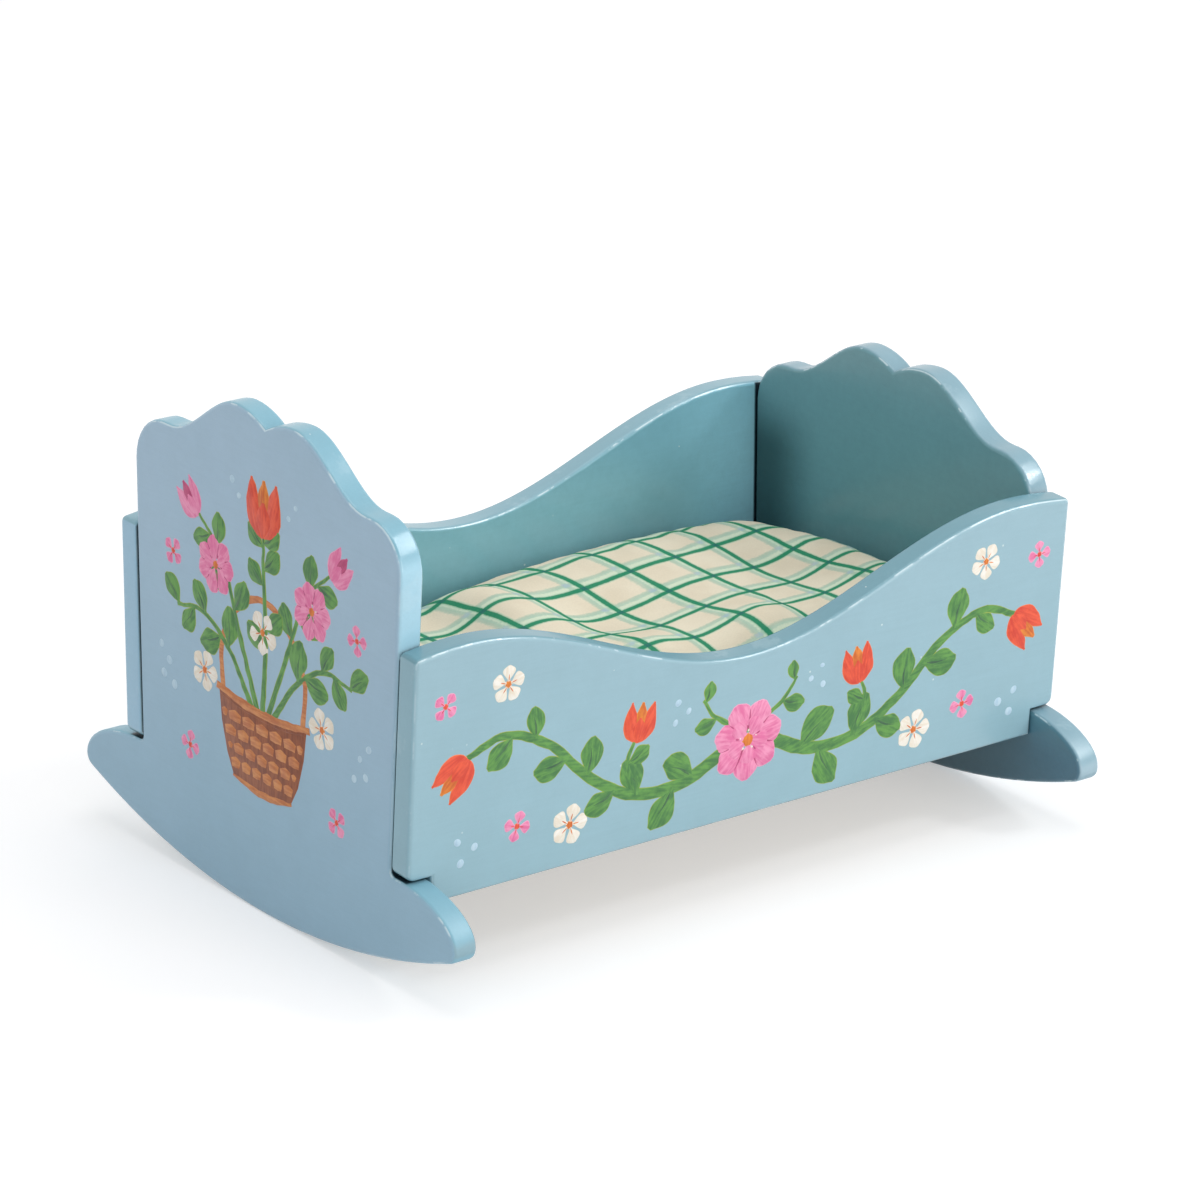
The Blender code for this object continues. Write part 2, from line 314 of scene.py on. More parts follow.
# outer turns into upper with the height; inner, a darker paint with painted shade, turns along the given axis
# into a low colour of painted shading
endBoard = {
    # at an end board's foot the low colour is painted shade
    "brush": (1.0, 0.10, 1.3), "lowPaintedShadingFrom": (2, 34, 14),
    "outer": srgb(148, 187, 208), "upper": srgb(167, 196, 217),
}
sidePanel = {
    # at a side panel's foot the low colour is painted light, lighter than the inner one
    "brush": (0.06, 1.0, 1.3), "lowPaintedShadingFrom": (2, 72, 50),
    "outer": srgb(149, 187, 199), "upper": srgb(157, 190, 202),
}
boards = {
    # edge and upright are the colours of the level and the upright parts of the cut edge; the upright one is
    # made lighter as painted light and reflection. wing is the colour of its lowest part, with less of that
    # painted light, and that part is dulled by rubbing
    "head_board": {
        **endBoard, "outward": (-1, 0, 0), "inner": srgb(108, 156, 166), "lowPaintedShading": srgb(84, 126, 142),
        "edge": srgb(132, 182, 200), "uprightPaintedLight": srgb(173, 216, 233),
        "wing": {"colour": srgb(142, 176, 188), "height": (18, 34), "dulled": 0.25},
    },
    "foot_board": {
        **endBoard, "outward": (1, 0, 0), "inner": srgb(111, 161, 172), "lowPaintedShading": srgb(78, 121, 141),
        "edge": srgb(134, 170, 184), "uprightPaintedLight": srgb(166, 194, 206),
        "wing": {"colour": srgb(162, 190, 202), "height": (18, 34), "dulled": 0.15},
        # painted shadow that the back panel casts into the lower corner of the inner face
        "corner": {"colour": srgb(54, 92, 98), "axis": 1, "from": (22, 42), "height": (60, 76)},
    },
    "side_panel_front": {
        **sidePanel, "outward": (0, -1, 0), "inner": srgb(120, 168, 180), "lowPaintedShading": srgb(134, 186, 199),
        "edge": srgb(112, 158, 172), "uprightPaintedLight": srgb(144, 184, 198),
    },
    "side_panel_back": {
        **sidePanel, "outward": (0, 1, 0), "inner": srgb(124, 176, 192), "lowPaintedShading": srgb(132, 184, 197),
        "edge": srgb(134, 176, 190), "uprightPaintedLight": srgb(160, 200, 223),
        # painted light in the lower corner by the foot board, against the shade that falls there
        "corner": {"colour": srgb(168, 230, 250), "axis": 0, "from": (54, 84), "height": (52, 100)},
    },
}

# painted shade in the narrow gap where a panel's end meets an end board and under the panel's tabs, in
# millimetres
paintedJointShade = {
    "colour": srgb(22, 40, 50),
    "inner": (44.45, 44.80), "outer": (50.6, 51.4),  # from the middle, the inner one at floor level
    "bottom": (24.1, 24.6), "top": (72.4, 73.2),
    "panelEnd": (83.5, 84.2), "tabFoot": (26.5, 28.0), "tabStrength": 0.4,
    # how far a face must turn off the edge, down or inwards
    "offEdge": (0.3, 0.6), "down": (0.3, 0.9), "inwards": (0.5, 0.95),
}


def paintedJointShadeMask(graph, place, level, facing, name):
    # painted shade in the gap: on a board beside a panel's end, and on the panel's end and tab undersides
    x, y, z = graph.split(place)
    if name.endswith("board"):
        up = flatSide("side_panel_front", boards["side_panel_front"]["outward"])[2]
        inner = abs(y) - z * abs(up.y / up.z)
        across = inner.fade(*paintedJointShade["inner"]) * (1 - abs(y).fade(*paintedJointShade["outer"]))
        upward = z.fade(*paintedJointShade["bottom"]) * (1 - z.fade(*paintedJointShade["top"]))
        return across * upward * (1 - abs(facing).fade(*paintedJointShade["offEdge"]))
    # painted shade on the underside of a panel's tabs
    below = (0 - level).fade(*paintedJointShade["down"]) * (1 - z.fade(*paintedJointShade["tabFoot"])) * paintedJointShade["tabStrength"]
    return abs(x).fade(*paintedJointShade["panelEnd"]) * (0 - facing).fade(*paintedJointShade["inwards"]).maths("MAXIMUM", below)


def boardPaint(name, board):
    material, graph = newMaterial(name + "Paint")
    place = graph.place()
    axes = graph.split(place)
    normal = graph.add("ShaderNodeTexCoord", out="Normal")
    level = graph.split(normal)[2]
    facing = graph.vector("DOT_PRODUCT", normal, board["outward"], out=1)
    outside, inside = (way.fade(*paintedWood["sideFrom"]) for way in (facing, 0 - facing))

    textures = {}
    for key, (facts, _) in paintedWood["textures"].items():
        spot = graph.stretch(place, board["brush"]) if key == "streaks" else place
        textures[key] = graph.noise(spot, *facts)
    upper = paintedWood["upper"]
    rise = axes[2].fade(*upper["height"]) * (1 - upper["patches"]) + textures["patches"] * upper["patches"]
    outer = graph.mix(rise, board["outer"], board["upper"])
    # painted shading on the inner faces: darker low on the end boards, lighter low on the side panels
    axis, start, end = board["lowPaintedShadingFrom"]
    inner = graph.mix(axes[axis].fade(start, end), board["inner"], board["lowPaintedShading"])
    # a corner of painted shadow on the foot board and of painted light on the back panel
    if "corner" in board:
        corner = board["corner"]
        near = axes[corner["axis"]].fade(*corner["from"]) * (1 - axes[2].fade(*corner["height"]))
        inner = graph.mix(near, inner, corner["colour"])
    # the cut edge: painted light and reflection make its upright parts lighter than its level ones, less so
    # at the lowest part
    uprightPaintedLight = board["uprightPaintedLight"]
    rough = paintedWood["roughness"] + (textures["grit"] - 0.5) * paintedWood["roughSpread"]
    if "wing" in board:
        wing = board["wing"]
        low = 1 - axes[2].fade(*wing["height"])
        uprightPaintedLight = graph.mix(low, uprightPaintedLight, wing["colour"])
        rough = rough + low * (1 - abs(facing).fade(*paintedWood["edgeTo"])) * wing["dulled"]
    edge = graph.mix(abs(level).fade(*paintedWood["levelFrom"]), uprightPaintedLight, board["edge"])
    smear = paintedWood["smear"]
    smeared = graph.noise(place, *smear["noise"]).fade(*smear["from"])
    edge = graph.mix(smeared * smear["strength"], edge, paintedWood["paleWearAndHighlight"])
    colour = graph.mix(inside, graph.mix(outside, edge, outer), inner)

    mottle = paintedWood["mottle"]
    depth = mottle["outside"] + inside * (mottle["inside"] - mottle["outside"])
    shade = (graph.noise(place, *mottle["noise"]) - 0.5) * depth + 1
    for key, (_, spread) in paintedWood["textures"].items():
        shade = shade + (textures[key] - 0.5) * spread
    colour = graph.toned(colour, shade)

    # the arris is painted pale in broken lines, partly worn paint and partly painted highlight, most where it
    # points up
    arrisWearAndHighlight = paintedWood["arrisWearAndHighlight"]
    arris = 1 - abs(abs(facing) - arrisWearAndHighlight["arris"]).fade(*arrisWearAndHighlight["width"])
    facingUp = abs(level).fade(*arrisWearAndHighlight["facingUp"]) * (1 - arrisWearAndHighlight["least"]) + arrisWearAndHighlight["least"]
    bare = graph.noise(place, *arrisWearAndHighlight["noise"]).fade(*arrisWearAndHighlight["from"])
    colour = graph.mix(arris * bare * facingUp * arrisWearAndHighlight["strength"], colour, paintedWood["paleWearAndHighlight"])

    specks = paintedWood["specks"]
    dots = graph.add("ShaderNodeTexVoronoi", None, {"Vector": place, "Scale": specks["scale"]})
    chance = Wire(graph, dots.socket.node.outputs["Color"])
    speck = (1 - dots.fade(*specks["size"])) * graph.split(chance)[0].fade(*specks["chance"])
    speck = speck * textures["clouds"].fade(*specks["swarm"])
    colour = graph.mix(speck * specks["strength"], colour, paintedWood["speck"])
    # painted shade in the gaps at the panels' ends
    colour = graph.mix(paintedJointShadeMask(graph, place, level, facing, name), colour, paintedJointShade["colour"])

    relief = speck
    for key, share in paintedWood["relief"].items():
        relief = relief + textures[key] * share
    bump = graph.bump(relief, paintedWood["brushDepth"])
    graph.shade(Base_Color=colour, Roughness=rough, Normal=bump)
    return material


soften = {"weld": 0.001, "sharp": 42}


def softenEdges(name):
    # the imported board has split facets: weld them and shade across shallow angles
    group = bpy.data.node_groups.new(name + "Soften", "GeometryNodeTree")
    for way in ("INPUT", "OUTPUT"):
        group.interface.new_socket("Geometry", in_out=way, socket_type="NodeSocketGeometry")
    graph = Graph(group)
    solid = graph.add("NodeGroupInput")
    reach = soften["weld"] * mm
    solid = graph.add("GeometryNodeMergeByDistance", None, {"Geometry": solid, "Distance": reach})
    solid = graph.add("GeometryNodeRemoveAttribute", None, {"Geometry": solid, "Name": "custom_normal"})
    angle = graph.add("GeometryNodeInputMeshEdgeAngle")
    sharp = math.radians(soften["sharp"])
    shallow = graph.add("FunctionNodeCompare", {"operation": "LESS_THAN"}, {0: angle, 1: sharp})
    for domain, smooth in (("FACE", True), ("EDGE", shallow)):
        facts = {"Geometry": solid, "Shade Smooth": smooth}
        solid = graph.add("GeometryNodeSetShadeSmooth", {"domain": domain}, facts)
    graph.add("NodeGroupOutput", None, {0: solid})
    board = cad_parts[name]
    board.modifiers.new("soften", "NODES").node_group = group
    board.modifiers.new("weighted", "WEIGHTED_NORMAL").keep_sharp = True


for boardName, boardFacts in boards.items():
    wear(boardName, boardPaint(boardName, boardFacts))
    softenEdges(boardName)
print("boards painted")


# bare wood under the paint

bareWood = {
    "base_panel": {"pale": srgb(224, 210, 184), "dark": srgb(206, 188, 158), "grain": (0.05, 1.3, 1.3)},
    "dowel": {"pale": srgb(214, 180, 134), "dark": srgb(182, 142, 98), "grain": (0.9, 0.05, 0.9)},
    "rings": {"noise": (0.5, 5.0, 0.6), "from": (0.35, 0.65)},
    "pores": {"noise": (4.0, 2.0), "from": (0.62, 0.72), "strength": 0.5, "dull": 0.2, "relief": 0.5},
    "roughness": 0.62, "grainDepth": 0.03,
}


def woodGrain(name):
    facts = bareWood[name]
    material, graph = newMaterial(name + "Wood")
    along = graph.stretch(graph.place(), facts["grain"])
    ring, pore = bareWood["rings"], bareWood["pores"]
    rings, pores = (graph.noise(along, *part["noise"]) for part in (ring, pore))
    colour = graph.mix(rings.fade(*ring["from"]), facts["dark"], facts["pale"])
    colour = graph.mix(pores.fade(*pore["from"]) * pore["strength"], colour, facts["dark"])
    rough = bareWood["roughness"] + pores * pore["dull"]
    bump = graph.bump(rings + pores * pore["relief"], bareWood["grainDepth"])
    graph.shade(Base_Color=colour, Roughness=rough, Normal=bump)
    return material


wear("base_panel", woodGrain("base_panel"))
dowelWood = woodGrain("dowel")
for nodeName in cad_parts:
    if nodeName.startswith("dowel"):
        wear(nodeName, dowelWood)
print("bare wood finished")


# flowers painted on the boards: every stroke is a thin shell of paint

# the body of each paint, its shade and its rim
paints = {
    "leaf": ((100, 158, 72), (62, 118, 62), (158, 176, 74)),
    "leafVein": ((72, 118, 70), (48, 88, 60), (72, 118, 70)),
    "pink": ((248, 158, 194), (230, 112, 162), (244, 172, 200)),
    "rose": ((205, 80, 130), (180, 60, 110), (214, 100, 146)),
    "coral": ((240, 92, 56), (214, 62, 40), (244, 132, 70)),
    "white": ((252, 247, 238), (238, 226, 206), (240, 230, 210)),
    "amber": ((236, 140, 44), (206, 96, 30), (240, 160, 70)),
    "brown": ((216, 142, 80), (186, 106, 58), (196, 120, 68)),
    "umber": ((158, 88, 50), (126, 66, 40), (158, 88, 50)),
    "mist": ((196, 222, 236), (176, 206, 226), (186, 214, 230)),
}
paintNames = list(paints)

# a stroke's thickness, border and shaking hand in millimetres, then how its paint lies
film = {
    "first": 0.030, "each": 0.0005, "sunk": 0.004, "rim": 0.28, "rimShare": 0.3,
    "shake": 0.28, "shakeShare": 0.03, "shakePitch": 0.45, "shakeSeed": 3,
    "streaks": {"stretch": (0.22, 1.5, 60.0), "tone": 0.65, "dull": 0.2},
    "blot": {"noise": 0.35, "tone": 0.5, "relief": 0.3},
    "shadeFrom": (0.42, 0.72), "rimTo": (0.1, 0.95), "roughness": 0.38, "depth": 0.05,
}
noise.seed_set(film["shakeSeed"])  # else the shake follows the clock

# everything below about a motif is a share of its own size
blade = {"least": 0.10, "power": 0.75}
spray = {
    "spread": (0.75, 1.0), "length": (0.88, 1.10), "taper": 0.52, "leafTaper": 0.3,
    "width": 0.68, "bend": 0.06, "fat": 0.58,
    "vein": {"run": (0.12, 0.70), "width": 1.1, "fat": 0.35},
    "steps": 12, "ahead": 3,
}
blossoms = {
    # rings from the back to the front: paint, petals, first turn, where a petal starts and ends, its
    # width and where it is widest; then the heart and its dots of pollen
    "daisy": {
        "rings": (("white", 5, 0.0, (0.06, 0.50), 0.40, 0.66), ("amber", 5, 0.0, (0.08, 0.27), 0.07, 0.5)),
        "heart": ("amber", 0.105), "pollen": 0,
    },
    "clover": {
        "rings": (("pink", 4, 0.0, (0.06, 0.50), 0.42, 0.66), ("coral", 4, 0.0, (0.08, 0.27), 0.07, 0.5)),
        "heart": ("coral", 0.11), "pollen": 0,
    },
    "rose": {
        "rings": (
            ("pink", 7, 0.20, (0.03, 0.50), 0.36, 0.68), ("rose", 7, 0.65, (0.12, 0.38), 0.045, 0.6),
            ("pink", 5, 0.50, (0.03, 0.31), 0.27, 0.68), ("rose", 5, 1.13, (0.12, 0.19), 0.045, 0.6),
        ),
        "heart": ("amber", 0.085), "pollen": 5,
    },
}
pollen = {"paint": "white", "reach": 0.12, "radius": 0.022}
dots = {"paint": "mist", "size": (0.8, 1.15), "squash": (0.8, 1.0), "sides": 16}
tulip = {
    "back": {"run": (0.10, 0.98), "width": 0.40, "fat": 0.45},
    "side": {"bends": ((0.32, 0.26), (0.70, 0.30), (0.98, 0.34)), "width": 0.40},
    "sideShape": {"least": 0.08, "skew": 0.75, "power": 0.8},
    "front": {"run": (0.0, 0.62), "width": 0.42, "fat": 0.5},
    "hearts": {"coral": "amber", "pink": "rose"},
}


def smoothLine(points, steps):
    # a smooth line through the points, a cubic between each two
    points = [Vector(p) for p in points]
    ends = [2 * points[0] - points[1], *points, 2 * points[-1] - points[-2]]
    made = []
    for a, b, c, d in zip(ends, ends[1:], ends[2:], ends[3:]):
        for step in range(steps):
            t = step / steps
            bent = (2 * a - 5 * b + 4 * c - d) * t ** 2 + (3 * b - a - 3 * c + d) * t ** 3
            made.append(b + ((c - a) * t + bent) / 2)
    return made + [points[-1]]


def mirrored(half):
    # a line that starts on the middle line, carried on to its other side
    return [(-x, y) for x, y in reversed(half)] + list(half[1:])


def turned(reach, angle):
    way = Vector((0, reach))
    way.rotate(Matrix.Rotation(angle, 2))
    return way


class Painter:
    # collects the strokes for one board, each one above the last
    def __init__(self, board, seed):
        self.name = board + "Painting"
        self.foot, self.right, self.up, self.out = flatSide(board, boards[board]["outward"])
        self.dice = random.Random(seed)
        self.hand = 1
        self.count = 0
        self.bm = bmesh.new()
        self.brush = self.bm.verts.layers.float_vector.new("brush")
        self.edge = self.bm.verts.layers.float.new("edge")

    def fill(self, paint, outline, root, tip, rims=None):
        # a closed outline filled with one paint; rims are the widths of its sloping border
        hand = Vector((self.hand, 1))
        outline = [p * hand for p in outline]
        root, tip = root * hand, tip * hand
        rims = rims or [film["rim"]] * len(outline)
        if sum(a.cross(b) for a, b in zip(outline, outline[1:] + outline[:1])) < 0:
            outline, rims = outline[::-1], rims[::-1]
        along = (tip - root).normalized()
        tint = self.dice.random()
        wobble = self.dice.uniform(0, 100)
        height = film["first"] + film["each"] * self.count
        self.count += 1
        reach = min(film["shake"], film["shakeShare"] * max((p - outline[0]).length for p in outline))
        shaken = []
        for p in outline:
            shake = noise.noise_vector(Vector((*(p * film["shakePitch"]), wobble))) * reach
            shaken.append(p + shake.xy)
        outer, inner = [], []
        for before, p, after, rim in zip(shaken[-1:] + shaken, shaken, shaken[1:] + shaken[:1], rims):
            way = (after - before).normalized()
            inward = Vector((-way.y, way.x)) * rim
            for ring, spot, level, edge in ((outer, p, -film["sunk"], 0.0), (inner, p + inward, height, 1.0)):
                at = self.right * spot.x + self.up * spot.y + self.out * level
                vert = self.bm.verts.new(self.foot + at * mm)
                vert[self.brush] = ((spot - root).dot(along), (spot - root).cross(along), tint)
                vert[self.edge] = edge
                ring.append(vert)
        for corners in [*zip(outer, outer[1:] + outer[:1], inner[1:] + inner[:1], inner), inner]:
            face = self.bm.faces.new(corners)
            face.material_index = paintNames.index(paint)
            face.smooth = True

    def stroke(self, paint, line, width, least=1.0, skew=1.0, power=1.0, taper=0.0, steps=8):
        # along a smooth line; widest in the middle unless least is 1
        spine = smoothLine(line, steps)
        left, right, rims = [], [], []
        last = len(spine) - 1
        for i, p in enumerate(spine):
            share = i / last
            wide = width * max(least, math.sin(math.pi * share ** skew)) ** power * (1 - taper * share)
            way = (spine[min(i + 1, last)] - spine[max(i - 1, 0)]).normalized()
            side = Vector((-way.y, way.x)) * wide / 2
            left.append(p + side)
            right.append(p - side)
            rims.append(min(film["rim"], wide * film["rimShare"]))
        self.fill(paint, left + right[::-1], spine[0], spine[-1], rims + rims[::-1])

    def blade(self, paint, root, tip, width, bend=0.0, fat=0.5):
        # a leaf or petal: narrow at its root, widest at the share fat
        root, tip = Vector(root), Vector(tip)
        run = tip - root
        middle = root + run / 2 + Vector((-run.y, run.x)) * bend
        self.stroke(paint, (root, middle, tip), width, skew=math.log(0.5) / math.log(fat), steps=7, **blade)

    def disc(self, paint, centre, radius, squash=1.0):
        centre = Vector(centre)
        turn = Matrix.Rotation(self.dice.uniform(0, math.pi), 2)
        outline = []
        for step in range(dots["sides"]):
            around = turned(radius, math.tau * step / dots["sides"])
            around.x *= squash
            outline.append(centre + turn @ around)
        self.fill(paint, outline, centre, centre + Vector((0, 1)))

    def leafySpray(self, line, width, leaves, leafSize, side=1):
        # leaves are shares of the stem's length, on its two sides in turn
        self.stroke("leaf", line, width, taper=spray["taper"])
        spine = smoothLine(line, spray["steps"])
        last, ahead = len(spine) - 1, spray["ahead"]
        for share in leaves:
            at = spine[round(share * last)]
            before = min(round(share * last), last - ahead)
            way = (spine[before + ahead] - spine[before]).normalized()
            way.rotate(Matrix.Rotation(side * self.dice.uniform(*spray["spread"]), 2))
            run = way * leafSize * self.dice.uniform(*spray["length"]) * (1 - spray["leafTaper"] * share)
            bend, vein = spray["bend"] * side, spray["vein"]
            self.blade("leaf", at, at + run, run.length * spray["width"], bend, spray["fat"])
            start, end = (at + run * part for part in vein["run"])
            self.blade("leafVein", start, end, vein["width"], bend, vein["fat"])
            side = -side

    def blossom(self, kind, centre, size):
        centre = Vector(centre)
        facts = blossoms[kind]
        start = self.dice.uniform(0, 1)
        for paint, petals, turn, run, width, fat in facts["rings"]:
            for petal in range(petals):
                way = turned(size, math.tau * petal / petals + turn + start)
                root, tip = (centre + way * share for share in run)
                self.blade(paint, root, tip, size * width, 0.0, fat)
        paint, radius = facts["heart"]
        self.disc(paint, centre, size * radius)
        for dot in range(facts["pollen"]):
            way = turned(size * pollen["reach"], math.tau * dot / facts["pollen"])
            self.disc(pollen["paint"], centre + way, size * pollen["radius"])

    def tulip(self, paint, root, tip):
        # a petal behind, two at the sides and one in front; root is where the stem ends
        root, tip = Vector(root), Vector(tip)
        run = tip - root
        across = Vector((-run.y, run.x))
        back, side, front = tulip["back"], tulip["side"], tulip["front"]
        start, end = (root + run * share for share in back["run"])
        self.blade(tulip["hearts"][paint], start, end, run.length * back["width"], 0.0, back["fat"])
        for hand in (-1, 1):
            line = [root] + [root + run * up + across * aside * hand for up, aside in side["bends"]]
            self.stroke(paint, line, run.length * side["width"], steps=6, **tulip["sideShape"])
        start, end = (root + run * share for share in front["run"])
        self.blade(paint, start, end, run.length * front["width"], 0.0, front["fat"])

    def dot(self, x, y, radius):
        size, squash = (self.dice.uniform(*dots[key]) for key in ("size", "squash"))
        self.disc(dots["paint"], (x, y), radius * size, squash)

    def motifs(self, painting):
        ways = {"sprays": self.leafySpray, "blossoms": self.blossom, "tulips": self.tulip, "dots": self.dot}
        for self.hand, part in ((1, "paired"), (-1, "paired"), (1, "single")):
            for kind, draw in ways.items():
                for facts in painting[part].get(kind, ()):
                    draw(*facts)

    def finish(self):
        mesh = meshOf(self.name, self.bm)
        for name in paintNames:
            mesh.materials.append(paintMaterials[name])
        made = newObject(self.name, mesh)
        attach(made, "cradle")
        print(self.name, "done:", self.count, "strokes")


def brushPaint(name):
    body, shade, rim = (srgb(*colour) for colour in paints[name])
    material, graph = newMaterial(name + "Paint")
    streak, blot = film["streaks"], film["blot"]
    streaks = graph.noise(graph.stretch(graph.layer("brush", "Vector"), streak["stretch"]), 1.0)
    blots = graph.noise(graph.place(), blot["noise"])
    tone = (streaks * streak["tone"] + blots * blot["tone"]).fade(*film["shadeFrom"])
    inner = graph.layer("edge").fade(*film["rimTo"])
    colour = graph.mix(1 - inner, graph.mix(tone, body, shade), rim)
    rough = film["roughness"] + streaks * streak["dull"]
    bump = graph.bump(streaks + blots * blot["relief"], film["depth"])
    graph.shade(Base_Color=colour, Roughness=rough, Normal=bump)
    return material


paintMaterials = {name: brushPaint(name) for name in paintNames}

# places are millimetres right of a board's middle line and up from its foot; what is paired is
# painted on the right and, mirrored, on the left. A spray has its line, its width, its leaves as
# shares of the line, their size and, if it isn't 1, the side of the first one
vine = {
    "paired": {
        "sprays": (
            (((6, 17), (18, 12), (31, 12.5), (43, 19), (54, 29), (66, 34), (76, 31)), 3.5,
             (0.12, 0.20, 0.32, 0.40, 0.52, 0.60, 0.72, 0.80), 11.0),
            (((30, 12), (33, 20), (31, 26)), 1.7, (0.5,), 7.0),
            (((0, 20), (9, 25), (13, 30)), 1.6, (0.5, 0.9), 7.4, -1),
        ),
        "blossoms": (
            ("daisy", (48, 9.5), 9.5), ("daisy", (66, 45.5), 8.5),
            ("clover", (62, 12.5), 7.0), ("clover", (82, 44), 6.5),
        ),
        "tulips": (("coral", (31, 24.5), (29.5, 33.5)), ("coral", (75.5, 31), (82.5, 24))),
        "dots": (
            (73, 10.5, 0.95), (76.5, 7.5, 0.95), (77.5, 12.5, 0.95),
            (17, 28.5, 0.8), (20, 31, 0.8), (20.5, 26.5, 0.8),
        ),
    },
    "single": {"blossoms": (("rose", (0, 18), 19),)},
}
bouquet = {
    "paired": {
        "sprays": (
            (((4, 46), (12, 56), (22, 62), (32, 61)), 1.9, (0.35, 0.45, 0.65, 0.78, 0.98), 10.5),
            (((2, 46), (9, 62), (15, 76), (24, 84)), 1.9, (0.42, 0.52, 0.74, 0.84), 10.5),
        ),
        "blossoms": (
            ("rose", (17.5, 74), 13.5), ("daisy", (21.5, 49), 9.5), ("clover", (33.5, 72.5), 6.8),
            ("clover", (27, 30), 6.8),
        ),
        "tulips": (("pink", (24.5, 83), (30, 89.5)),),
        "dots": (
            (35, 47, 1.05), (38, 50, 1.05), (37, 43.5, 1.05), (33, 42, 1.05),
            (9, 92, 0.85), (11.5, 95, 0.85),
        ),
    },
    "single": {
        "sprays": ((((0, 46), (1, 62), (0, 78), (0, 86)), 2.0, (0.30, 0.38, 0.58, 0.66, 0.86, 0.90), 9.5),),
        "blossoms": (("daisy", (0, 64), 10.0),),
        "tulips": (("coral", (0, 85), (0, 98)),),
    },
}
tulipBunch = {
    "paired": {
        "sprays": ((((1, 30), (9, 44), (19, 56), (24, 62)), 1.9, (0.30, 0.42, 0.62, 0.74), 10.5),),
        "blossoms": (("daisy", (31, 45), 8.5), ("clover", (19, 31), 7.0)),
        "tulips": (("pink", (23.5, 61), (30, 70)),),
        "dots": ((36, 58, 1.0), (38.5, 61, 1.0), (35, 32, 1.0), (38, 34.5, 1.0)),
    },
    "single": {
        "sprays": ((((0, 26), (1, 44), (0, 62), (0, 68)), 2.1, (0.28, 0.36, 0.56, 0.64, 0.85, 0.90), 10.0),),
        "tulips": (("coral", (0, 67), (0, 80)),),
    },
    "ribbon": {"knot": (0, 33.5), "radius": 1.9, "tail": (9, 29), "width": 3.0, "bend": 0.2},
}
basket = {
    # right halves, from the middle line outwards
    "handle": ((0, 71), (8, 68), (15, 58), (14.5, 46)), "handleWidth": 1.7,
    "body": ((0, 46), (8, 46.2), (16, 47), (15, 40), (13, 33), (10.5, 28.5), (5, 27.6), (0, 27.4)),
    # the shadow under the rim, the rim and the foot
    "bands": (
        ("umber", ((0, 44.2), (8, 44.5), (15.5, 45.7)), 0.6, {}),
        ("brown", ((0, 45.5), (8, 45.8), (17, 47.2)), 2.3, {"least": 0.3, "power": 0.25}),
        ("brown", ((0, 27.3), (10.8, 28.6)), 2.0, {"least": 0.15, "power": 0.4}),
    ),
    # woven canes: half width at the lowest row and the share that it grows by per millimetre
    "rows": 4, "columns": 6, "lowest": 31.2, "rise": 3.5, "half": 11.6, "flare": 0.33,
    "cane": 3.2, "caneGap": 0.16, "caneBow": 0.35, "caneWidest": 1.2,  # the last is a share of its length
    "caneShape": {"least": 0.35, "power": 0.45},
}
paintings = {  # with the seeds of their random draws
    "side_panel_front": (vine, 5), "side_panel_back": (vine, 8),
    "head_board": (bouquet, 21), "foot_board": (tulipBunch, 34),
}


def weaveBasket(brush):
    outline = [Vector(p) for p in mirrored(basket["body"])[:-1]]
    brush.fill("umber", outline, outline[0], outline[len(outline) // 2])
    for row in range(basket["rows"]):
        level = basket["lowest"] + row * basket["rise"]
        reach = basket["half"] + row * basket["rise"] * basket["flare"]
        pitch = 2 * reach / basket["columns"]
        shift = pitch / 2 * (row % 2)
        for column in range(basket["columns"] + row % 2):
            start = column * pitch - reach - shift
            left = max(start, -reach) + basket["caneGap"]
            right = min(start + pitch, reach) - basket["caneGap"]
            line = ((left, level), ((left + right) / 2, level + basket["caneBow"]), (right, level))
            width = min(basket["cane"], (right - left) * basket["caneWidest"])
            brush.stroke("brown", line, width, steps=2, **basket["caneShape"])
    for paint, half, width, shape in basket["bands"]:
        brush.stroke(paint, mirrored(half), width, **shape)


def tieRibbon(brush, ribbon):
    for brush.hand in (-1, 1):
        brush.blade("coral", ribbon["knot"], ribbon["tail"], ribbon["width"], -ribbon["bend"])
    brush.disc("coral", ribbon["knot"], ribbon["radius"])


def paintBoard(board, painting, seed):
    brush = Painter(board, seed)
    if painting is bouquet:
        brush.stroke("brown", mirrored(basket["handle"]), basket["handleWidth"])
    brush.motifs(painting)
    if painting is bouquet:
        weaveBasket(brush)
    if "ribbon" in painting:
        tieRibbon(brush, painting["ribbon"])
    brush.finish()


for boardName, painted in paintings.items():
    paintBoard(boardName, *painted)


# mattress: one stuffed pillow of two sewn sheets, printed with a windowpane check

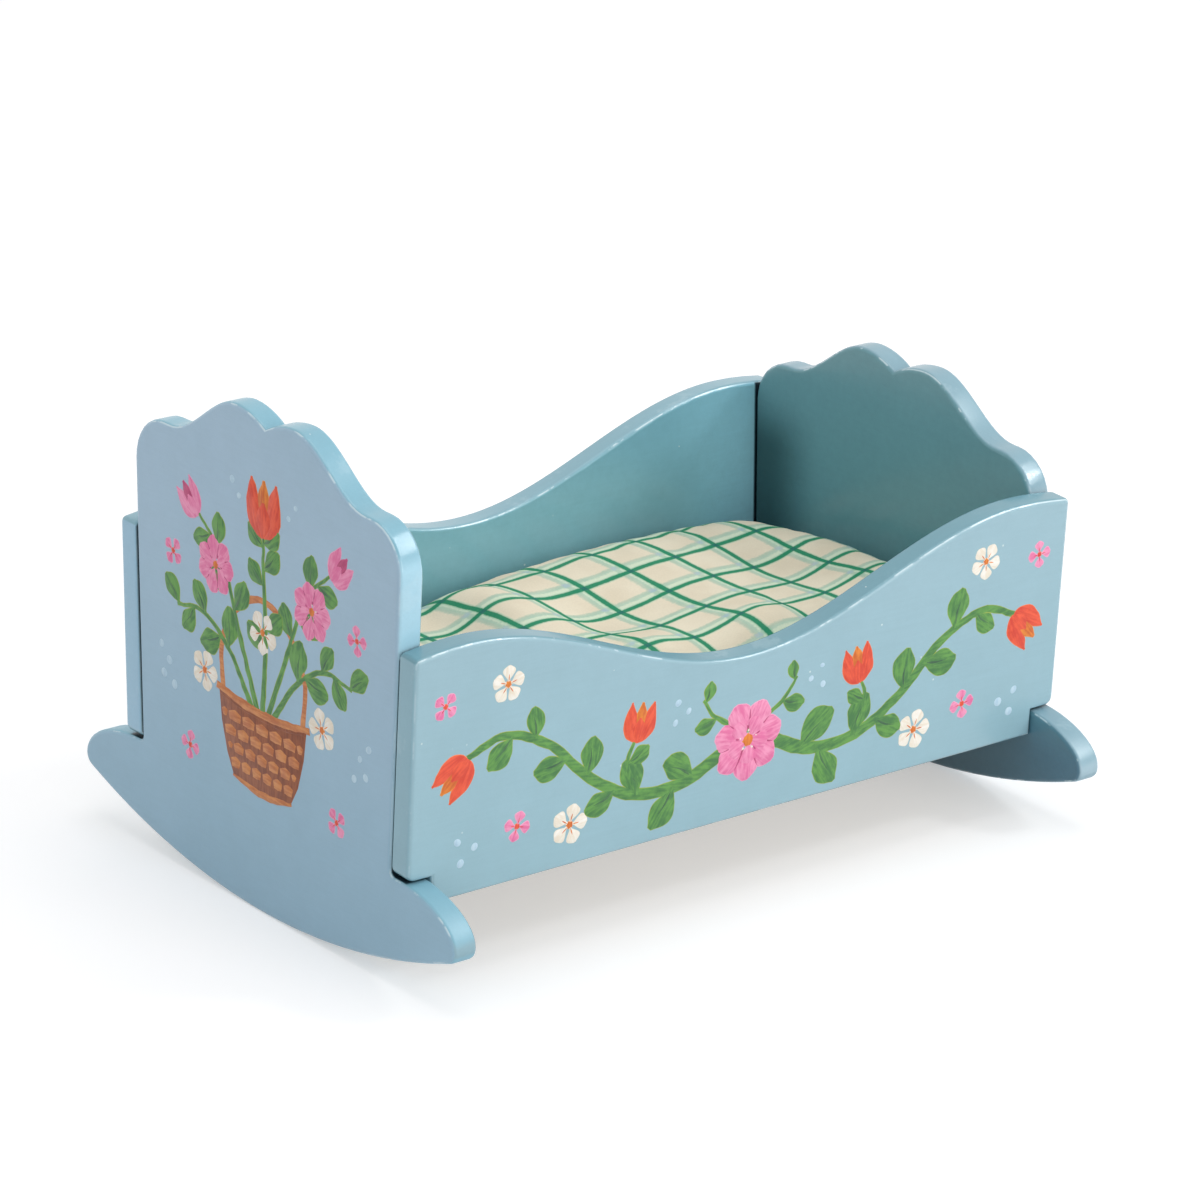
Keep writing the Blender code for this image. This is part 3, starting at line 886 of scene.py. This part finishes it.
mattress = {
    "half": (81.7, 43.9), "corner": 12.0,  # half the length and half the width
    "seamHeight": 32.95, "crown": 19.8, "headSink": 3.5, "belly": 10.5,
    "roundTop": (3.6, 4.0), "roundBelly": (9.0, 9.0),
    "cells": (84, 48), "evenShare": 0.35,  # the rest of the spacing is eased
    # soft hills and dips: x, y, reach along x, reach along y, height
    "swells": (
        (-23, 5, 11.5, 29, 6.2), (-29, 16, 9.5, 22, -5.5), (1, -5, 21, 16, -1.9), (-8, -28, 12, 10, 4.0),
        (24, -27.5, 11, 9.5, 3.3), (57, -3, 18.5, 25, -5.1), (69, -15, 18, 34, 5.9), (-20, 39, 13, 9, -4.6),
        (5, 36, 14, 9, -0.6), (78, 8, 11, 15, 1.8),
    ),
    "swellEnds": 1.3,
    "seam": {"gap": 0.35, "groove": 0.6, "drawIn": 1.4, "power": 3},
    "pucker": {"height": 0.35, "reach": 6.0, "pitch": 7.5, "drift": 2.2, "driftPitch": 0.05, "seed": 9.0},
    # the simulation is done ten times larger, and the cap is on how far a point moves
    "settle": {"scale": 10, "frames": 20, "smoothing": 40, "cap": 0.45},
    "cloth": {
        "quality": 6, "mass": 0.3, "tension_stiffness": 15, "compression_stiffness": 15,
        "shear_stiffness": 5, "bending_stiffness": 0.5,
        "use_pressure": True, "uniform_pressure_force": 4, "shrink_min": -0.03,
    },
}

checkPrint = {
    # run: the line at the middle, and the lines passed in each unit of length along x and along y;
    # bow: how the stuffing bends them, by the unit squared in x, in x and y, and in y
    "unit": 50,
    "across": {"run": (1.70, 3.35, -0.08), "bow": (0.08, 0.06, -0.29), "pitch": 14.7, "pale": 0.165},
    "along": {"run": (1.74, 0.36, -3.58), "bow": (0.22, -0.33, 0.69), "pitch": 13.7, "pale": 0.24},
    "line": 1.5, "lineVaries": 0.3, "paleWidth": 1.7, "bleedPast": 0.35,
    "sway": {"noise": (0.06, 2.0, 0.5), "reach": 0.10, "apart": (200, 90, 0)},
    "noises": {"brush": (0.22, 3.0), "ragged": (1.4, 3.0)},
    # from the lowest: the colour and that of a crossing, the width of the soft edge and how ragged
    # it is, and the noise that the strength follows, its least and its spread
    "marks": {
        "wash": ((srgb(210, 228, 204),) * 2, (0.6, 0.8), ("brush", 0.8, 0)),
        "pale": ((srgb(164, 196, 176), srgb(150, 184, 196)), (0.9, 1.2), ("brush", 0.35, 0.7)),
        "bleed": ((srgb(140, 200, 166),) * 2, (0.7, 0.4), ("brush", 0.6, 0)),
        "bold": ((srgb(24, 133, 95), srgb(14, 108, 96)), (0.4, 0.4), ("ragged", 0.88, 0.14)),
    },
    "cloth": srgb(234, 224, 201), "shade": srgb(226, 214, 190),
    "constants": {"Roughness": 0.9, "Specular_IOR_Level": 0.15},
    "mottle": {"noise": (0.07, 4.0), "from": (0.3, 0.7)},
    # the print stops short of the groove, which gets painted shade
    "printEnd": (0.05, 0.35), "groove": {"from": (0.2, 1.0), "strength": 0.6},
    "weave": {"thread": 0.42, "relief": 0.5, "depth": 0.035},
    "slub": {"noise": (2.2, 2.0), "relief": 0.9, "tone": 0.16},
}


def roundCorner(across, along, corner):
    # a square corner of unit size mapped onto a quarter disc
    reach = max(across, along)
    turn = math.pi / 4 * (along / across if across >= along else 2 - across / along)
    return reach * math.cos(turn) * corner, reach * math.sin(turn) * corner


def planPoint(shareX, shareY):
    # shares of the half sizes, -1 to 1, to a place inside the rounded rectangle
    corner = mattress["corner"]
    halfX, halfY = mattress["half"]
    bareX, bareY = halfX - corner, halfY - corner
    x, y = abs(shareX) * halfX, abs(shareY) * halfY
    if x > bareX and y > bareY:
        inX, inY = roundCorner((x - bareX) / corner, (y - bareY) / corner, corner)
        x, y = bareX + inX, bareY + inY
    return math.copysign(x, shareX), math.copysign(y, shareY)


def easedShare(index, count):
    # cells get narrower towards the seam
    even = 2 * index / count - 1
    share = mattress["evenShare"]
    return share * even + (1 - share) * math.sin(even * math.pi / 2)


def swellShare(shareX, shareY, powers):
    made = 1.0
    for share, power in zip((shareX, shareY), powers):
        made *= max(0.0, 1 - abs(share) ** power) ** (1 / power)
    return made


def clothHeight(x, y, shareX, shareY):
    # height of the upper sheet above the seam
    share = swellShare(shareX, shareY, mattress["roundTop"])
    head = (1 - math.sin(shareX * math.pi / 2)) / 2
    height = (mattress["crown"] - mattress["headSink"] * head) * share
    for atX, atY, reachX, reachY, rise in mattress["swells"]:
        near = math.exp(-((x - atX) / reachX) ** 2 - ((y - atY) / reachY) ** 2)
        height += rise * near * min(1.0, share * mattress["swellEnds"])
    return height


def puckerHeight(x, y):
    # gathers that run in from the seam and die away
    facts = mattress["pucker"]
    halfX, halfY = mattress["half"]
    toSide, toEnd = halfY - abs(y), halfX - abs(x)
    run = x if toSide < toEnd else y
    spot = Vector((x * facts["driftPitch"], y * facts["driftPitch"], facts["seed"]))
    drift = facts["drift"] * noise.noise(spot)
    wave = math.sin(run * math.tau / facts["pitch"] + drift)
    return facts["height"] * wave * math.exp(-min(toSide, toEnd) / facts["reach"])


def laySheet(bm, upper):
    # one sheet of cloth as a grid of points, drawn in at the seam
    seam = mattress["seam"]
    halfX, halfY = mattress["half"]
    countX, countY = mattress["cells"]
    sheet = {}
    for i in range(countX + 1):
        for j in range(countY + 1):
            shareX, shareY = easedShare(i, countX), easedShare(j, countY)
            x, y = planPoint(shareX, shareY)
            share = swellShare(shareX, shareY, mattress["roundTop" if upper else "roundBelly"])
            if i in (0, countX) or j in (0, countY):
                z = seam["gap"] if upper else -seam["gap"]
                share = 0.0
            elif upper:
                z = max(seam["gap"], clothHeight(x, y, shareX, shareY)) + puckerHeight(x, y)
            else:
                z = -mattress["belly"] * share + puckerHeight(x, y) * (1 - share)
            drawn = seam["drawIn"] * (1 - share) ** seam["power"]
            x *= 1 - drawn / halfX
            y *= 1 - drawn / halfY
            sheet[i, j] = bm.verts.new((x * mm, y * mm, (mattress["seamHeight"] + z) * mm))
    for i in range(countX):
        for j in range(countY):
            corners = (sheet[i, j], sheet[i + 1, j], sheet[i + 1, j + 1], sheet[i, j + 1])
            bm.faces.new(corners if upper else corners[::-1])
    return sheet


def sewSeam(bm, upper, lower):
    # the groove between the two sheets, all the way round
    countX, countY = mattress["cells"]
    border = [(i, 0) for i in range(countX)] + [(countX, j) for j in range(countY)]
    border += [(countX - i, countY) for i in range(countX)] + [(0, countY - j) for j in range(countY)]
    groove = {}
    for key in border:
        at = (upper[key].co + lower[key].co) / 2
        inward = Vector((-at.x, -at.y, 0)).normalized() * mattress["seam"]["groove"] * mm
        groove[key] = bm.verts.new(at + inward)
    for here, ahead in zip(border, border[1:] + border[:1]):
        bm.faces.new((upper[ahead], upper[here], groove[here], groove[ahead]))
        bm.faces.new((groove[ahead], groove[here], lower[here], lower[ahead]))
    return groove


def runOver(sheet, keys):
    # how far each point of a row is from its middle one, over the cloth, in units of the print
    runs = [0.0]
    for here, ahead in zip(keys, keys[1:]):
        runs.append(runs[-1] + (sheet[ahead].co - sheet[here].co).length / mm)
    middle = runs[len(runs) // 2]
    return {key: (run - middle) / checkPrint["unit"] for key, run in zip(keys, runs)}


def measureCloth(sheet, layer):
    # where each point lies on the printed cloth, as lines counted across and along
    countX, countY = mattress["cells"]
    across, along = {}, {}
    for j in range(countY + 1):
        across.update(runOver(sheet, [(i, j) for i in range(countX + 1)]))
    for i in range(countX + 1):
        along.update(runOver(sheet, [(i, j) for j in range(countY + 1)]))
    for key, vert in sheet.items():
        x, y = across[key], along[key]
        counted = []
        for lines in (checkPrint["across"], checkPrint["along"]):
            (start, skewX, skewY), (bowX, twist, bowY) = lines["run"], lines["bow"]
            counted.append(start + skewX * x + skewY * y + bowX * x * x + twist * x * y + bowY * y * y)
        vert[layer] = (*counted, 0)


def settleCloth(cover):
    # a cloth simulation puffs the sewn cover up; only its fine puckers are kept
    facts = mattress["settle"]
    size = facts["scale"]
    trial = newObject("trialCover", cover.data.copy())
    trial.data.transform(Matrix.Scale(size, 4))
    cloth = trial.modifiers.new("cloth", "CLOTH")
    for key, value in mattress["cloth"].items():
        setattr(cloth.settings, key, value)
    cloth.settings.effector_weights.gravity = 0
    cloth.point_cache.frame_start = 1
    cloth.point_cache.frame_end = facts["frames"]
    for step in range(1, facts["frames"] + 1):
        scene.frame_set(step)
    shown = trial.evaluated_get(bpy.context.evaluated_depsgraph_get())
    count = len(cover.data.vertices)
    start, puffed = np.zeros(count * 3), np.zeros(count * 3)
    cover.data.vertices.foreach_get("co", start)
    shown.data.vertices.foreach_get("co", puffed)
    start, puffed = start.reshape(-1, 3), puffed.reshape(-1, 3) / size
    bpy.data.objects.remove(trial)
    scene.frame_set(1)

    move = puffed - start
    edges = np.array([edge.vertices[:] for edge in cover.data.edges])
    ends = np.concatenate([edges, edges[:, ::-1]])
    neighbours = np.bincount(ends[:, 0], minlength=count)[:, None]
    even = move.copy()
    for _ in range(facts["smoothing"]):
        total = np.zeros_like(even)
        np.add.at(total, ends[:, 0], even[ends[:, 1]])
        even = (even + total / neighbours) / 2
    fine = move - even
    length = np.linalg.norm(fine, axis=1, keepdims=True)
    fine /= np.sqrt(1 + (length / (facts["cap"] * mm)) ** 2)
    settled = start + fine
    reach = np.array([*mattress["half"], math.inf]) * mm
    settled = np.clip(settled, -reach, reach)
    settled[:, 2] = np.maximum(settled[:, 2], (mattress["seamHeight"] - mattress["belly"]) * mm)
    cover.data.vertices.foreach_set("co", settled.ravel())
    cover.data.update()
    farthest = np.linalg.norm(move, axis=1).max()
    print(f"cloth settled: moved {farthest / mm:.2f} mm, kept {length.max() / mm:.2f} mm")


def makeMattress():
    bm = bmesh.new()
    place = bm.verts.layers.float_vector.new("clothPlace")
    stitch = bm.verts.layers.float.new("stitch")
    upper, lower = laySheet(bm, True), laySheet(bm, False)
    groove = sewSeam(bm, upper, lower)
    for sheet in (upper, lower):
        measureCloth(sheet, place)
    for key, vert in groove.items():
        vert[place] = upper[key][place]
        vert[stitch] = 1.0
    bmesh.ops.recalc_face_normals(bm, faces=bm.faces)
    made = newObject("mattressCover", meshOf("mattressCover", bm))
    made.data.shade_smooth()
    settleCloth(made)
    subdivision = made.modifiers.new("subdivision", "SUBSURF")
    subdivision.levels = subdivision.render_levels = 1
    return made


def printMarks(graph, coords, cloth):
    # where each kind of mark lies: across the cloth and along it
    sway = checkPrint["sway"]
    further = graph.vector("ADD", cloth, sway["apart"])
    noises = {key: graph.noise(cloth, *facts) for key, facts in checkPrint["noises"].items()}
    varies = checkPrint["lineVaries"]
    half = (1 - varies / 2 + noises["brush"] * varies) * (checkPrint["line"] / 2)
    masks = {mark: [] for mark in checkPrint["marks"]}
    for turns, spot, way in zip(graph.split(coords), (cloth, further), ("across", "along")):
        facts = checkPrint[way]
        pitch, aside = facts["pitch"], facts["pale"]
        turns = turns + (graph.noise(spot, *sway["noise"]) - 0.5) * sway["reach"]
        places = {
            "wash": (aside / 2, aside / 2 * pitch), "pale": (aside, checkPrint["paleWidth"] / 2),
            "bleed": (0, half + checkPrint["bleedPast"]), "bold": (0, half),
        }
        for mark, (_, (soft, ragged), _) in checkPrint["marks"].items():
            shift, reach = places[mark]
            apart = abs((turns + shift + 0.5).maths("FRACT") - 0.5) * pitch  # from the nearest line
            apart = apart + (noises["ragged"] - 0.5) * ragged
            masks[mark].append((reach + soft / 2 - apart).fade(0, soft))
    return masks, noises


def checkCloth():
    check = checkPrint
    material, graph = newMaterial("checkCloth")
    coords = graph.layer("clothPlace", "Vector")
    cloth = graph.stretch(coords, (check["across"]["pitch"], check["along"]["pitch"], 0))
    groove = graph.layer("stitch")
    printed = 1 - groove.fade(*check["printEnd"])
    mottle = graph.noise(cloth, *check["mottle"]["noise"]).fade(*check["mottle"]["from"])
    colour = graph.mix(mottle, check["cloth"], check["shade"])
    masks, noises = printMarks(graph, coords, cloth)
    for mark, (tints, _, (varied, least, spread)) in check["marks"].items():
        first, second = masks[mark]
        tint = graph.mix(first * second, *tints)
        strength = first.maths("MAXIMUM", second) * (least + noises[varied] * spread)
        colour = graph.mix(strength * printed, colour, tint)
    # painted shade in the seam's groove
    dark = groove.fade(*check["groove"]["from"]) * check["groove"]["strength"]
    colour = graph.mix(dark, colour, check["shade"], "MULTIPLY")

    # plain weave: threads over and under each other
    weave, slub = check["weave"], check["slub"]
    turn = math.tau / weave["thread"]
    x, y, _ = (axis * turn for axis in graph.split(cloth))
    threads = x.maths("SINE") * y.maths("SINE")
    slubs = graph.noise(cloth, *slub["noise"])
    colour = graph.toned(colour, (slubs - 0.5) * slub["tone"] + 1)
    bump = graph.bump(threads * weave["relief"] + slubs * slub["relief"], weave["depth"])
    graph.shade(Base_Color=colour, Normal=bump, **check["constants"])
    return material


mattressCover = makeMattress()
mattressCover.data.materials.append(checkCloth())
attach(mattressCover, "mattress")
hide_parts("mattress_top_cloth", "mattress_bottom_cloth", "mattress_filling")
print("mattress made")
